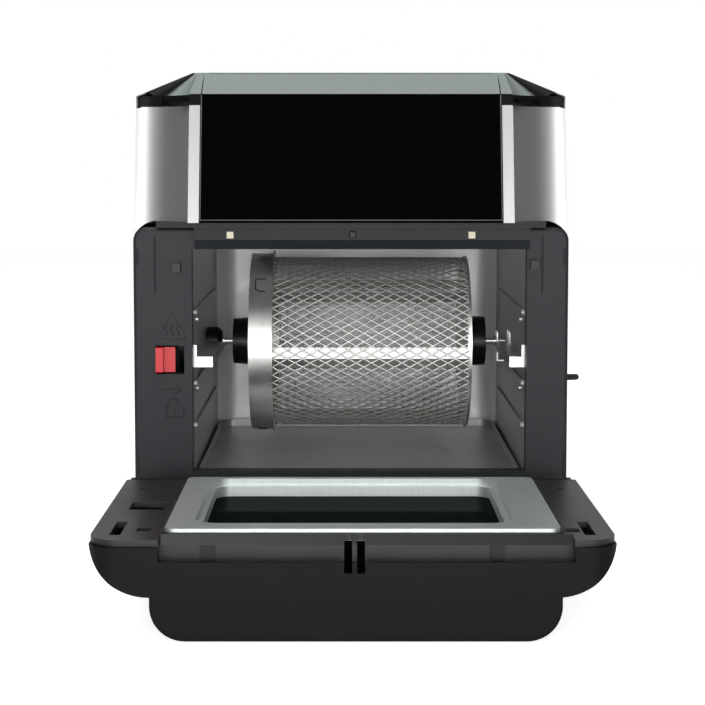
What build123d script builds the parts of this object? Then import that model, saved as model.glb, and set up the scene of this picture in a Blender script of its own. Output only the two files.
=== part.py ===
"""Countertop oven with a rotisserie basket and a fold-down door, shown open.

+X is to the right, +Y to the back, +Z up, in millimetres. The origin is on the
surface that the oven stands on, under the middle of the box around body and
open door. A distance "out" is measured forwards from the bezel's face.
"""

import math
import os

from build123d import *

os.makedirs("parts", exist_ok=True)

# Driving sizes
body_width = 330.0
body_height = 364.0
body_depth = 285.0
door_reach = 244.0
column_left = 44.4
column_right = 31.6
opening_floor = 61.0
opening_height = 169.7
cavity_depth = 262.0
foot_height = 10.0
plinth_top = 55.0
plinth_out = 20.0
unit_out = 35.0
unit_lean = 20.0
unit_top = body_height - 17.0
hinge_out = 30.0
hinge_height = 36.0
door_face = 30.0
door_inside = 65.0
door_corner = 39.5
basket_out = -130.0
cord_diameter = 6.0

# Stock and clearances
sheet = 1.0
wall = 3.0
gap = 0.5
running = 0.05
swing_gap = 2.0

# Places worked out from them
half = body_width / 2
bezel_y = (door_reach - body_depth) / 2
left_wall = -half + column_left
right_wall = half - column_right
opening_top = opening_floor + opening_height
frame_joint = opening_top - 5.7
unit_bottom = opening_top + 21.3
middle = (left_wall + right_wall) / 2
back_y = bezel_y + body_depth
cavity_back = bezel_y + cavity_depth
basket_y = bezel_y - basket_out
basket_height = opening_floor + opening_height / 2 + 0.55
mesh_radius = opening_height / 2 - 14.85
hinge_y = bezel_y - hinge_out


def out(distance):
    """The Y of a place this far in front of the bezel's face."""
    return bezel_y - distance


def block(x, y, z, mode=Mode.ADD):
    """A box between two limits along each axis."""
    with Locations(((x[0] + x[1]) / 2, (y[0] + y[1]) / 2, (z[0] + z[1]) / 2)):
        Box(abs(x[1] - x[0]), abs(y[1] - y[0]), abs(z[1] - z[0]), mode=mode)


def rod(start, end, radius, mode=Mode.ADD):
    """A round bar between two points."""
    line = Vector(*end) - Vector(*start)
    with BuildSketch(Plane(origin=start, z_dir=line)) as section:
        Circle(radius)
    extrude(section.sketch, amount=line.length, mode=mode)


def panel(x, y, z, corner, mode=Mode.ADD):
    """A flat plate with four round corners, seen from above."""
    with BuildSketch(Plane.XY.offset(min(z))) as plan:
        with Locations(((x[0] + x[1]) / 2, (y[0] + y[1]) / 2)):
            RectangleRounded(abs(x[1] - x[0]), abs(y[1] - y[0]), corner)
    extrude(plan.sketch, amount=abs(z[1] - z[0]), mode=mode)


def save(piece, name):
    """Labels one finished piece and writes its file."""
    piece.part.label = name
    export_step(piece.part, f"parts/{name}.step")


# --- Base and feet ---------------------------------------------------------
plinth_corner = 23.0
plinth_half = half - door_corner + plinth_corner - 0.5

with BuildPart() as base_pan:
    panel((-half, half), (out(0), back_y - sheet - gap), (foot_height, plinth_top), 3)
    block((-plinth_half, plinth_half), (out(plinth_out), out(0)), (foot_height, plinth_top))
    fillet(base_pan.edges().filter_by(Axis.Z).group_by(Axis.Y)[0], 18)
    block(
        (-half + wall, half - wall),
        (out(0) + wall, back_y - sheet - gap - wall),
        (foot_height + wall, plinth_top),
        mode=Mode.SUBTRACT,
    )
save(base_pan, "base_pan")

foot_radius = 12.0
foot_inset = 28.0
with BuildPart() as feet:
    with BuildSketch(Plane.XY):
        for side in (-1, 1):
            for y in (out(-foot_inset), back_y - foot_inset):
                with Locations((side * (half - foot_inset), y)):
                    Circle(foot_radius)
    extrude(amount=foot_height)
    chamfer(feet.edges().group_by(Axis.Z)[0], 1.5)
save(feet, "feet")

# --- Front: bezel frame, upper crossmember and their small pieces ----------
frame_depth = 12.0
with BuildPart() as front_frame:
    block((-half, half), (out(0), out(-frame_depth)), (plinth_top, frame_joint))
    fillet(front_frame.edges().filter_by(Axis.Z).group_by(Axis.Y)[0], 3)
    block(
        (left_wall, right_wall),
        (out(5), out(-frame_depth - 5)),
        (opening_floor, frame_joint + 5),
        mode=Mode.SUBTRACT,
    )
    catch_x = left_wall - 16.9
    catch_z = 146.6
    block(
        (catch_x - 10.9, catch_x + 10.9),
        (out(5), out(-frame_depth - 5)),
        (catch_z - 11, catch_z + 11),
        mode=Mode.SUBTRACT,
    )
save(front_frame, "front_frame")

frame_top = unit_bottom - 5.0
frame_round = 10.0
nose_face = 5.0
switch_x = 1.2
plunger_low = frame_top - 7.0
plunger_high = frame_top - 3.0
trough_left = left_wall + 0.6
trough_right = right_wall + 3.6
nose_left = trough_left + swing_gap
nose_right = trough_right - swing_gap
with BuildPart() as upper_frame:
    block((-half, half), (out(0), out(-frame_depth)), (frame_joint, frame_top))
    fillet(upper_frame.edges().filter_by(Axis.Y).group_by(Axis.Z)[-1], frame_round)
    fillet(upper_frame.edges().filter_by(Axis.Z).group_by(Axis.Y)[0], 3)
    with BuildSketch(Plane.YZ.offset(nose_left)):
        Polygon(
            (out(0), opening_top),
            (out(4.2), opening_top + 6.3),
            (out(nose_face), opening_top + 7.3),
            (out(nose_face), frame_top),
            (out(0), frame_top),
            align=None,
        )
    extrude(amount=nose_right - nose_left)
    block(
        (left_wall, right_wall),
        (out(0), out(-frame_depth - 5)),
        (frame_joint - 5, opening_top),
        mode=Mode.SUBTRACT,
    )
    block(
        (switch_x - 2.5, switch_x + 2.5),
        (out(8), out(-frame_depth - 5)),
        (plunger_low - 0.5, plunger_high + 0.5),
        mode=Mode.SUBTRACT,
    )
save(upper_frame, "upper_frame")

peg_places = ((left_wall - 11.3, opening_top - 13.7), (right_wall + 5.3, opening_top - 11.7))
with BuildPart() as locating_pegs:
    for x, z in peg_places:
        block((x - 3, x + 3), (out(0), out(5)), (z - 3.5, z + 3.5))
save(locating_pegs, "locating_pegs")

pad_x = 91.0
pad_z = opening_top + 8.5
with BuildPart() as strike_pads:
    for side in (-1, 1):
        x = side * pad_x
        block((x - 2.5, x + 2.5), (out(nose_face + 0.8), out(nose_face)), (pad_z, pad_z + 5))
save(strike_pads, "strike_pads")

with BuildPart() as door_switch:
    body_ends = (out(-frame_depth), out(-frame_depth - 16))
    block((switch_x - 9, switch_x + 9), body_ends, (plunger_low - 2, frame_top))
    block(
        (switch_x - 2.3, switch_x + 2.3),
        (out(-frame_depth), out(-frame_depth - 9)),
        (plunger_low - 0.3, plunger_high + 0.3),
        mode=Mode.SUBTRACT,
    )
save(door_switch, "door_switch")

with BuildPart() as switch_plunger:
    block(
        (switch_x - 2, switch_x + 2),
        (out(8), out(-frame_depth - 4)),
        (plunger_low, plunger_high),
    )
save(switch_plunger, "switch_plunger")

# --- Door catch in the left column -----------------------------------------
slider_travel = 6.0
with BuildPart() as catch_slider:
    block((catch_x - 10.5, catch_x + 3.9), (out(-1.5), out(-5.5)), (catch_z - 9.5, catch_z + 9.5))
    block((catch_x - 10.5, catch_x - 4.9), (out(4), out(-1.5)), (catch_z - 9.5, catch_z + 9.5))
    fillet(catch_slider.edges().filter_by(Axis.X).group_by(Axis.Y)[0], 1)
save(catch_slider, "catch_slider")

# --- Control unit ----------------------------------------------------------
unit_corner = 45.0
trim_half = 112.0
trim_top = unit_top - 8.4
unit_back = out(-40)


def unit_plan(height, inset):
    """Plan outline of the control unit at one height, leaning back upwards."""
    rise = (height - unit_bottom) / (unit_top - unit_bottom)
    face = out(unit_out - unit_lean * rise - inset)
    side = half - inset
    radius = unit_corner - inset
    with BuildSketch(Plane.XY.offset(height)) as plan:
        with BuildLine():
            Line((-side, unit_back), (-side, face + radius))
            RadiusArc((-side, face + radius), (-side + radius, face), radius)
            Line((-side + radius, face), (side - radius, face))
            RadiusArc((side - radius, face), (side, face + radius), radius)
            Line((side, face + radius), (side, unit_back))
            Line((side, unit_back), (-side, unit_back))
        make_face()
    return plan.sketch


def unit_block(inset, mode=Mode.ADD, low=unit_bottom):
    """The leaning solid between a low height and the unit's top."""
    loft([unit_plan(low, inset), unit_plan(unit_top, inset)], ruled=True, mode=mode)


def corner_round(radius, depth):
    """Takes away what lies inside the rounding of the closed door's corners."""
    reach_up = hinge_height + door_reach - hinge_out
    for side in (-1, 1):
        rod(
            (side * (half - door_round), out(60), reach_up - door_round),
            (side * (half - door_round), out(depth), reach_up - door_round),
            radius,
            Mode.SUBTRACT,
        )


trim_sheet = 1.2
trim_low = unit_bottom - 12.0
door_round = 18.0
with BuildPart() as control_housing:
    unit_block(trim_sheet)
    inner = wall * 2 + 14
    block(
        (-half + inner, half - inner),
        (out(unit_out - unit_lean - 10), unit_back),
        (unit_bottom + wall, unit_top - wall),
        mode=Mode.SUBTRACT,
    )
    block((nose_left, nose_right), (out(12), out(-frame_depth)), (frame_top, unit_bottom))
    lip_half = half - door_round
    block((-lip_half, lip_half), (out(3), out(-frame_depth)), (frame_top, unit_bottom))
save(control_housing, "control_housing")


def trim_piece(side):
    """Brushed skin around one front corner of the control unit."""
    with BuildPart() as trim:
        unit_block(0, low=trim_low)
        unit_block(trim_sheet, Mode.SUBTRACT, low=trim_low)
        inner_half = half - door_round
        block((-inner_half, inner_half), (out(60), back_y), (0, unit_bottom), mode=Mode.SUBTRACT)
        corner_round(door_round + 2.0, -60)
        reach = (out(60), back_y)
        block((-side * half * 1.2, side * trim_half), reach, (0, body_height), mode=Mode.SUBTRACT)
        block((-half * 1.2, half * 1.2), (out(-28), back_y), (0, body_height), mode=Mode.SUBTRACT)
        block((-half * 1.2, half * 1.2), reach, (trim_top, body_height), mode=Mode.SUBTRACT)
    return trim


for side, word in ((-1, "left"), (1, "right")):
    save(trim_piece(side), f"trim_{word}")

glass_half = trim_half - gap
with BuildPart() as control_glass:
    unit_block(0)
    unit_block(trim_sheet, Mode.SUBTRACT)
    for side in (-1, 1):
        edge = (side * glass_half, side * half * 1.2)
        block(edge, (out(60), back_y), (0, body_height), mode=Mode.SUBTRACT)
    block((-half, half), (out(0), back_y), (0, body_height), mode=Mode.SUBTRACT)
save(control_glass, "control_glass")

with BuildPart() as control_board:
    block((-90, 90), (out(2), out(0.4)), (unit_bottom + 20, unit_top - 20))
    block((-30, 30), (out(4), out(2)), (unit_bottom + 40, unit_top - 30))
save(control_board, "control_board")

# --- Sheet-metal skin ------------------------------------------------------
ridge_half = half - 45.0
cover_half = 111.0
skin_front = out(-28) + gap
cavity_front = out(-frame_depth)
roof_rise = body_height - unit_top
cover_slope = 26.0


def skin(side):
    """Side panel: wall, sloped shoulder and the flat edge beside the cover."""
    with BuildPart() as piece:
        with BuildSketch(Plane.XZ.offset(-cavity_front)):
            with BuildLine():
                Polyline(
                    (side * half, plinth_top),
                    (side * half, unit_top),
                    (side * ridge_half, body_height),
                    (side * (cover_half + gap), body_height),
                    (side * (cover_half + gap), body_height - sheet),
                    (side * (ridge_half + 0.2), body_height - sheet),
                    (side * (half - sheet), unit_top - 0.6),
                    (side * (half - sheet), plinth_top),
                    close=True,
                )
            make_face()
        extrude(amount=-(back_y - sheet - gap - cavity_front))
        over_unit = (unit_bottom - 14, body_height + 1)
        block((side, side * (half + 1)), (out(0), skin_front), over_unit, mode=Mode.SUBTRACT)
        with Locations((side * (half - sheet / 2), back_y - 60, unit_top - 60)):
            with GridLocations(0, 9, 1, 9):
                Box(4, 3, 30, mode=Mode.SUBTRACT)
    return piece


for side, word in ((-1, "left"), (1, "right")):
    save(skin(side), f"side_panel_{word}")

ridge_corner = 4.0
with BuildPart() as shoulder_cap:
    ridge_front = out(unit_out - unit_lean - cover_slope)
    with BuildSketch(Plane.XY.offset(body_height)) as ridge:
        with BuildLine():
            Line((-ridge_half, unit_back), (-ridge_half, ridge_front + ridge_corner))
            start = (-ridge_half, ridge_front + ridge_corner)
            RadiusArc(start, (-ridge_half + ridge_corner, ridge_front), ridge_corner)
            Line((-ridge_half + ridge_corner, ridge_front), (ridge_half - ridge_corner, ridge_front))
            start = (ridge_half - ridge_corner, ridge_front)
            RadiusArc(start, (ridge_half, ridge_front + ridge_corner), ridge_corner)
            Line((ridge_half, ridge_front + ridge_corner), (ridge_half, unit_back))
            Line((ridge_half, unit_back), (-ridge_half, unit_back))
        make_face()
    loft([unit_plan(unit_top, 0), ridge.sketch], ruled=True)
    block((-half * 1.2, half * 1.2), (skin_front - gap, back_y), (0, body_height * 1.1), mode=Mode.SUBTRACT)
    block((-cover_half, cover_half), (out(60), back_y), (0, body_height * 1.1), mode=Mode.SUBTRACT)
save(shoulder_cap, "shoulder_cap")

with BuildPart() as top_cover:
    face_y = out(unit_out - unit_lean)
    ridge_y = face_y + cover_slope
    with BuildSketch(Plane.YZ.offset(-cover_half)):
        Polygon(
            (face_y, unit_top),
            (ridge_y, body_height),
            (back_y - sheet - gap, body_height),
            (back_y - sheet - gap, body_height - sheet),
            (ridge_y, body_height - sheet),
            (face_y + 2, unit_top),
            align=None,
        )
    extrude(amount=2 * cover_half)
save(top_cover, "top_cover")

with BuildPart() as back_panel:
    with BuildSketch(Plane.XZ.offset(-(back_y - sheet))):
        with BuildLine():
            Polyline(
                (-half, foot_height + 4),
                (-half, unit_top),
                (-ridge_half, body_height),
                (ridge_half, body_height),
                (half, unit_top),
                (half, foot_height + 4),
                close=True,
            )
        make_face()
    extrude(amount=-sheet)
    relief_x = 128.0
    relief_z = 84.0
    relief_neck = 6.0
    rod((relief_x, back_y - 5, relief_z), (relief_x, back_y + 5, relief_z), relief_neck, Mode.SUBTRACT)
    for x in (-60, -20, 20, 60):
        for z in (250, 262, 274, 286):
            block((x - 14, x + 14), (back_y - 5, back_y + 5), (z, z + 4), mode=Mode.SUBTRACT)
save(back_panel, "back_panel")

# --- Cavity ----------------------------------------------------------------
cavity_floor = opening_floor - 9.0 + sheet
cavity_roof = opening_top + 20.0
cavity_corner = 20.0
rib_radius = 3.0
bracket_heights = [opening_floor + opening_height * share for share in (0.348, 0.666)]
rib_heights = [opening_floor + opening_height * share for share in (0.19, 0.383, 0.707)]


def cavity_wall(inner_x, side):
    """Side wall of the cavity with its three long raised ribs."""
    far = cavity_back - cavity_corner
    with BuildPart() as piece:
        block((inner_x, inner_x + side * sheet), (cavity_front, far), (plinth_top, cavity_roof))
        for z in rib_heights:
            with BuildSketch(Plane.YZ.offset(inner_x)):
                with Locations(((cavity_front + 4 + far - 30) / 2, z)):
                    SlotOverall(far - 34 - cavity_front, 2 * rib_radius)
            extrude(amount=-side * 2.2)
        rod((inner_x - 5, basket_y, basket_height), (inner_x + 5, basket_y, basket_height), 5, Mode.SUBTRACT)
        for z in bracket_heights:
            rod((inner_x - 5, out(-126), z), (inner_x + 5, out(-126), z), 1.6, Mode.SUBTRACT)
    return piece


save(cavity_wall(left_wall, -1), "cavity_wall_left")
save(cavity_wall(right_wall, 1), "cavity_wall_right")

with BuildPart() as cavity_back_wall:
    far = cavity_back
    near = cavity_back - cavity_corner
    with BuildSketch(Plane.XY.offset(plinth_top)):
        with BuildLine():
            Polyline((left_wall - sheet, near), (left_wall, near))
            RadiusArc((left_wall, near), (left_wall + cavity_corner, far), cavity_corner)
            Line((left_wall + cavity_corner, far), (right_wall - cavity_corner, far))
            RadiusArc((right_wall - cavity_corner, far), (right_wall, near), cavity_corner)
            Polyline((right_wall, near), (right_wall + sheet, near))
            RadiusArc(
                (right_wall + sheet, near),
                (right_wall - cavity_corner, far + sheet),
                -cavity_corner - sheet,
            )
            Line((right_wall - cavity_corner, far + sheet), (left_wall + cavity_corner, far + sheet))
            RadiusArc(
                (left_wall + cavity_corner, far + sheet),
                (left_wall - sheet, near),
                -cavity_corner - sheet,
            )
        make_face()
    extrude(amount=cavity_roof - plinth_top)
save(cavity_back_wall, "cavity_back_wall")

fan_y = basket_y
shaft_hole = 4.0
with BuildPart() as cavity_roof_sheet:
    panel(
        (left_wall - sheet, right_wall + sheet),
        (cavity_front + 1, cavity_back + sheet),
        (cavity_roof, cavity_roof + sheet),
        cavity_corner,
    )
    rod((middle, fan_y, cavity_roof - 5), (middle, fan_y, cavity_roof + 5), shaft_hole, Mode.SUBTRACT)
save(cavity_roof_sheet, "cavity_roof")

with BuildPart() as cavity_floor_sheet:
    panel(
        (left_wall + 0.3, right_wall - 0.3),
        (cavity_front + 1, cavity_back - 0.5),
        (cavity_floor - sheet, cavity_floor),
        cavity_corner,
    )
save(cavity_floor_sheet, "cavity_floor")

tray_gap = 3.0
tray_top = opening_floor - 1.0
tray_corner = 12.0
with BuildPart() as drip_tray:
    x_limits = (left_wall + tray_gap, right_wall - tray_gap)
    y_limits = (cavity_front + gap, cavity_back - tray_gap - 6)
    panel(x_limits, y_limits, (cavity_floor, tray_top), tray_corner)
    panel(
        (x_limits[0] + sheet, x_limits[1] - sheet),
        (y_limits[0] + sheet, y_limits[1] - sheet),
        (cavity_floor + sheet, tray_top + 1),
        tray_corner - sheet,
        Mode.SUBTRACT,
    )
save(drip_tray, "drip_tray")

# --- Spit rails ------------------------------------------------------------
rail_top = basket_height + 1
rail_drop = 8.0
rail_length = -basket_out - frame_depth - 13


def rail(inner_x, side, width):
    """Ledge on one cavity wall that guides the spit back to its rest."""
    with BuildPart() as piece:
        start = out(-frame_depth)
        stop = start + rail_length
        edge = inner_x - side * width
        block((inner_x, edge), (start, stop), (rail_top - sheet, rail_top))
        block((inner_x, inner_x - side * sheet), (start, stop), (rail_top - rail_drop, rail_top))
        block((edge, edge + side * sheet), (start, stop), (rail_top - rail_drop, rail_top))
        block((inner_x, edge), (start, start + sheet), (rail_top - rail_drop, rail_top))
        block((inner_x, inner_x - side * 2.4), (start, start + sheet), (rail_top, rail_top + 9))
    return piece


save(rail(left_wall, -1, 14.6), "rail_left")
save(rail(right_wall, 1, 11.6), "rail_right")

screw_places = [(s * (half - 8), z) for s in (-1, 1) for z in (30, body_height / 2, unit_top - 12)]
with BuildPart() as screws:
    for x, z in screw_places:
        rod((x, back_y, z), (x, back_y + 2, z), 3.5)
    for inner_x, side in ((left_wall, -1), (right_wall, 1)):
        for z in bracket_heights:
            rod((inner_x, out(-37), z), (inner_x - side * 1.8, out(-37), z), 2.6)
save(screws, "screws")

# --- Fans, heater and motors -----------------------------------------------
shaft_radius = 2.5
motor_bottom = cavity_roof + sheet
motor_height = 24.0
fan_radius = 62.0
with BuildPart() as fan_motor:
    rod((middle, fan_y, motor_bottom), (middle, fan_y, motor_bottom + motor_height), 30)
    bore = shaft_radius + running
    rod((middle, fan_y, motor_bottom), (middle, fan_y, motor_bottom + motor_height), bore, Mode.SUBTRACT)
save(fan_motor, "fan_motor")


def fan_wheel(low, high, radius, blades):
    """A disc hub with straight blades around it."""
    with BuildPart() as piece:
        rod((middle, fan_y, low), (middle, fan_y, high), 9)
        rod((middle, fan_y, high - sheet), (middle, fan_y, high), radius)
        for turn in range(blades):
            angle = 2 * math.pi * turn / blades
            step = Vector(math.cos(angle), math.sin(angle))
            with BuildSketch(Plane.XY.offset(low)):
                with Locations((middle + step.X * radius * 0.55, fan_y + step.Y * radius * 0.55)):
                    Rectangle(radius * 0.86, 1.2, rotation=math.degrees(angle))
            extrude(amount=high - low)
        rod((middle, fan_y, low), (middle, fan_y, high), shaft_radius, Mode.SUBTRACT)
    return piece


save(fan_wheel(cavity_roof - 11, cavity_roof - 3, fan_radius, 12), "fan_impeller")
cooler_low = motor_bottom + motor_height + 4
save(fan_wheel(cooler_low, cooler_low + 12, 48, 10), "cooling_fan")

with BuildPart() as fan_shaft:
    rod((middle, fan_y, cavity_roof - 11), (middle, fan_y, cooler_low + 12), shaft_radius)
save(fan_shaft, "fan_shaft")

heater_z = cavity_roof - 16.0
heater_radius = 3.2
with BuildPart() as heating_element:
    for ring in (78.0, 62.0, 46.0):
        with BuildSketch(Plane.XZ.offset(-fan_y)):
            with Locations((middle + ring, heater_z)):
                Circle(heater_radius)
        revolve(axis=Axis((middle, fan_y, 0), (0, 0, 1)))
save(heating_element, "heating_element")

with BuildPart() as heater_brackets:
    for side in (-1, 1):
        x = middle + side * 62
        block((x - 22, x + 22), (fan_y - 4, fan_y + 4), (heater_z + heater_radius, heater_z + heater_radius + 1.5))
        block((x + side * 20, x + side * 22), (fan_y - 4, fan_y + 4), (heater_z + heater_radius + 1.5, cavity_roof))
save(heater_brackets, "heater_brackets")

with BuildPart() as spit_motor:
    x = left_wall - sheet
    rod((x, basket_y, basket_height), (x - 20, basket_y, basket_height), 25)
    bore = shaft_radius + running
    rod((x, basket_y, basket_height), (x - 20, basket_y, basket_height), bore, Mode.SUBTRACT)
save(spit_motor, "spit_motor")

# --- Rotisserie ------------------------------------------------------------
hub_left_x = left_wall + 23.1
cap_x = hub_left_x + 16.0
mesh_x = cap_x + 18.9
rim_x = right_wall - 38.4
hub_right_x = rim_x + 2.0
hub_right_end = hub_right_x + 15.3
socket_end = left_wall + 13.6
spit_radius = 2.5
mesh_sheet = 1.2


def basket_rod(start, end, radius, mode=Mode.ADD):
    """A round bar on the basket's axis between two X places."""
    rod((start, basket_y, basket_height), (end, basket_y, basket_height), radius, mode)


with BuildPart() as drive_shaft:
    basket_rod(left_wall - sheet - 20, left_wall + 1, shaft_radius)
save(drive_shaft, "drive_shaft")

with BuildPart() as drive_socket:
    basket_rod(left_wall + 1, socket_end, 11.7)
    chamfer(drive_socket.edges().group_by(Axis.X)[-1], 3.6)
    block(
        (socket_end - 5, socket_end + 1),
        (basket_y - 3.1, basket_y + 3.1),
        (basket_height - 3.1, basket_height + 3.1),
        mode=Mode.SUBTRACT,
    )
save(drive_socket, "drive_socket")

with BuildPart() as basket_mesh:
    basket_rod(mesh_x, rim_x, mesh_radius)
    basket_rod(mesh_x, rim_x, mesh_radius - mesh_sheet, Mode.SUBTRACT)
save(basket_mesh, "basket_mesh")

bar_count = 7
bar_width = 9.0
bar_radius = mesh_radius - mesh_sheet - 1.6
with BuildPart() as basket_bars:
    for index in range(bar_count):
        turn = math.radians(-2 + 360 * index / bar_count)
        outward = Vector(0, -math.cos(turn), math.sin(turn))
        start = Vector(mesh_x, basket_y, basket_height) + outward * bar_radius
        bar_plane = Plane(origin=start, x_dir=outward, z_dir=(1, 0, 0))
        with BuildSketch(bar_plane) as section:
            Rectangle(1.2, bar_width)
        extrude(section.sketch, amount=rim_x - mesh_sheet - mesh_x)
save(basket_bars, "basket_bars")

with BuildPart() as basket_lid:
    basket_rod(cap_x, mesh_x - 1, mesh_radius + 3.5)
    basket_rod(cap_x + mesh_sheet, mesh_x, mesh_radius + 2.3, Mode.SUBTRACT)
    basket_rod(mesh_x - 1, mesh_x, mesh_radius + 5.9)
    basket_rod(mesh_x - 1, mesh_x, mesh_radius - 4, Mode.SUBTRACT)
save(basket_lid, "basket_lid")

with BuildPart() as basket_end:
    basket_rod(rim_x - mesh_sheet, rim_x, mesh_radius - mesh_sheet)
    basket_rod(rim_x, rim_x + 2, mesh_radius + 1.5)
    basket_rod(rim_x, rim_x + 2, mesh_radius - 8, Mode.SUBTRACT)
save(basket_end, "basket_end")


def hub(inner_x, outer_x, inner_radius, outer_radius):
    """Black moulded grip on one end of the basket."""
    with BuildPart() as piece:
        with BuildSketch(Plane.XY.offset(basket_height)):
            with BuildLine():
                Polyline(
                    (inner_x, basket_y),
                    (inner_x, basket_y + inner_radius),
                    (outer_x, basket_y + outer_radius),
                    (outer_x, basket_y),
                    close=True,
                )
            make_face()
        revolve(axis=Axis((0, basket_y, basket_height), (1, 0, 0)))
        basket_rod(inner_x, outer_x, spit_radius, Mode.SUBTRACT)
    return piece


save(hub(cap_x, hub_left_x, 20, 18.7), "hub_left")
save(hub(rim_x, hub_right_end, 21, 20.3), "hub_right")

with BuildPart() as spit:
    basket_rod(socket_end + 0.4, hub_left_x, spit_radius)
    block(
        (socket_end - 4, socket_end + 0.4),
        (basket_y - 2.1, basket_y + 2.1),
        (basket_height - 2.1, basket_height + 2.1),
    )
    basket_rod(hub_left_x, cap_x, spit_radius)
    basket_rod(rim_x, right_wall - 3.5, spit_radius)
    basket_rod(hub_left_x - 9, hub_left_x - 7, 4)
    basket_rod(hub_right_end + 8, hub_right_end + 10, 4)
save(spit, "spit_stubs")

with BuildPart() as spit_rest:
    x = right_wall
    block((x - 11, x), (basket_y - 9, basket_y + 9), (basket_height - 16, basket_height + 8))
    block(
        (x - 10, x - 1),
        (basket_y - 12, basket_y + 12),
        (basket_height - 15, basket_height + 9),
        mode=Mode.SUBTRACT,
    )
    block(
        (x - 12, x - 10),
        (basket_y - 2.8, basket_y + 2.8),
        (basket_height - 2.8, basket_height + 9),
        mode=Mode.SUBTRACT,
    )
    block(
        (x - 1.1, x + 1),
        (basket_y - 5, basket_y + 5),
        (basket_height - 5, basket_height + 9),
        mode=Mode.SUBTRACT,
    )
save(spit_rest, "spit_rest")

# --- Door, lying open on its stop ------------------------------------------
door_skirt = 24.0
door_seam = door_inside - 4.0
panel_start = 52.0
panel_end = 240.0
panel_corner = 18.0
trough_start = 224.0
trough_wall = 232.0
trough_floor = 50.0
lip_height = 52.0
pin_radius = 2.5
knuckle_radius = 6.0
ear_x = 116.0
ear_half = 4.0
knuckle_length = 9.5
side_gap = 0.5


def door_outline(inset):
    """Cross-section of the door's outer shell, a flat pan with round sides."""
    side = half - inset
    radius = door_corner - inset
    low = door_face + inset
    with BuildSketch(Plane.XZ.offset(-out(door_skirt))) as section:
        with BuildLine():
            RadiusArc((-side, low + radius), (-side + radius, low), -radius)
            Line((-side + radius, low), (side - radius, low))
            RadiusArc((side - radius, low), (side, low + radius), -radius)
            Line((side, low + radius), (-side, low + radius))
        make_face()
    return section.sketch


with BuildPart() as door_core:
    extrude(door_outline(wall), amount=door_reach - wall - door_skirt)
    panel(
        (-half + wall, half - wall),
        (out(door_reach - wall), out(door_skirt - 60)),
        (0, door_face + door_corner),
        panel_corner - wall,
        Mode.INTERSECT,
    )

window_left = left_wall + 19.6
window_right = right_wall - 30.4
window_near = 206.0
window_far = 64.0
window_corner = 15.0
with BuildPart() as door_shell:
    extrude(door_outline(0), amount=door_reach - door_skirt)
    panel(
        (-half, half),
        (out(door_reach), out(door_skirt - 60)),
        (0, door_face + door_corner),
        panel_corner,
        Mode.INTERSECT,
    )
    add(door_core.part, mode=Mode.SUBTRACT)
    block((-half, half), (out(door_reach + 1), out(0)), (door_seam, 200), mode=Mode.SUBTRACT)
    block(
        (trough_left, trough_right),
        (out(door_reach + 1), out(door_reach - wall - 1)),
        (lip_height, door_seam + 1),
        mode=Mode.SUBTRACT,
    )
    panel(
        (window_left, window_right),
        (out(window_near), out(window_far)),
        (door_face - 1, door_face + wall + 1),
        window_corner,
        Mode.SUBTRACT,
    )
    end_wall = (out(door_reach + 1), out(door_reach - wall))
    block((switch_x - 6.5, switch_x + 6.5), end_wall, (lip_height - 7, lip_height + 1), mode=Mode.SUBTRACT)
    rib_wall = (out(door_reach), out(door_reach - wall))
    block((switch_x - 1.5, switch_x + 1.5), rib_wall, (lip_height - 7, lip_height))
    for side in (-1, 1):
        for turn in (-1, 1):
            start = side * ear_x + turn * (ear_half + side_gap)
            stop = start + turn * knuckle_length
            block((start, stop), (hinge_y - 14, hinge_y), (door_face + wall, hinge_height + knuckle_radius))
            rod((start, hinge_y, hinge_height), (stop, hinge_y, hinge_height), knuckle_radius)
            bore = pin_radius + running
            rod((start, hinge_y, hinge_height), (stop, hinge_y, hinge_height), bore, Mode.SUBTRACT)
        slot = ear_half + side_gap
        block(
            (side * ear_x - slot, side * ear_x + slot),
            (out(door_skirt - 1), hinge_y - knuckle_radius - side_gap),
            (0, hinge_height + knuckle_radius),
            mode=Mode.SUBTRACT,
        )
save(door_shell, "door_shell")

with BuildPart() as hinge_brackets:
    for side in (-1, 1):
        x_limits = (side * ear_x - ear_half, side * ear_x + ear_half)
        z_limits = (hinge_height - knuckle_radius, hinge_height + knuckle_radius)
        block(x_limits, (hinge_y, out(plinth_out)), z_limits)
        ends = [(x, hinge_y, hinge_height) for x in x_limits]
        rod(*ends, knuckle_radius)
        rod(*ends, pin_radius, Mode.SUBTRACT)
save(hinge_brackets, "hinge_brackets")

pin_half = ear_half + side_gap + knuckle_length
with BuildPart() as hinge_pins:
    for side in (-1, 1):
        x = side * ear_x
        rod((x - pin_half, hinge_y, hinge_height), (x + pin_half, hinge_y, hinge_height), pin_radius)
save(hinge_pins, "hinge_pins")

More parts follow.
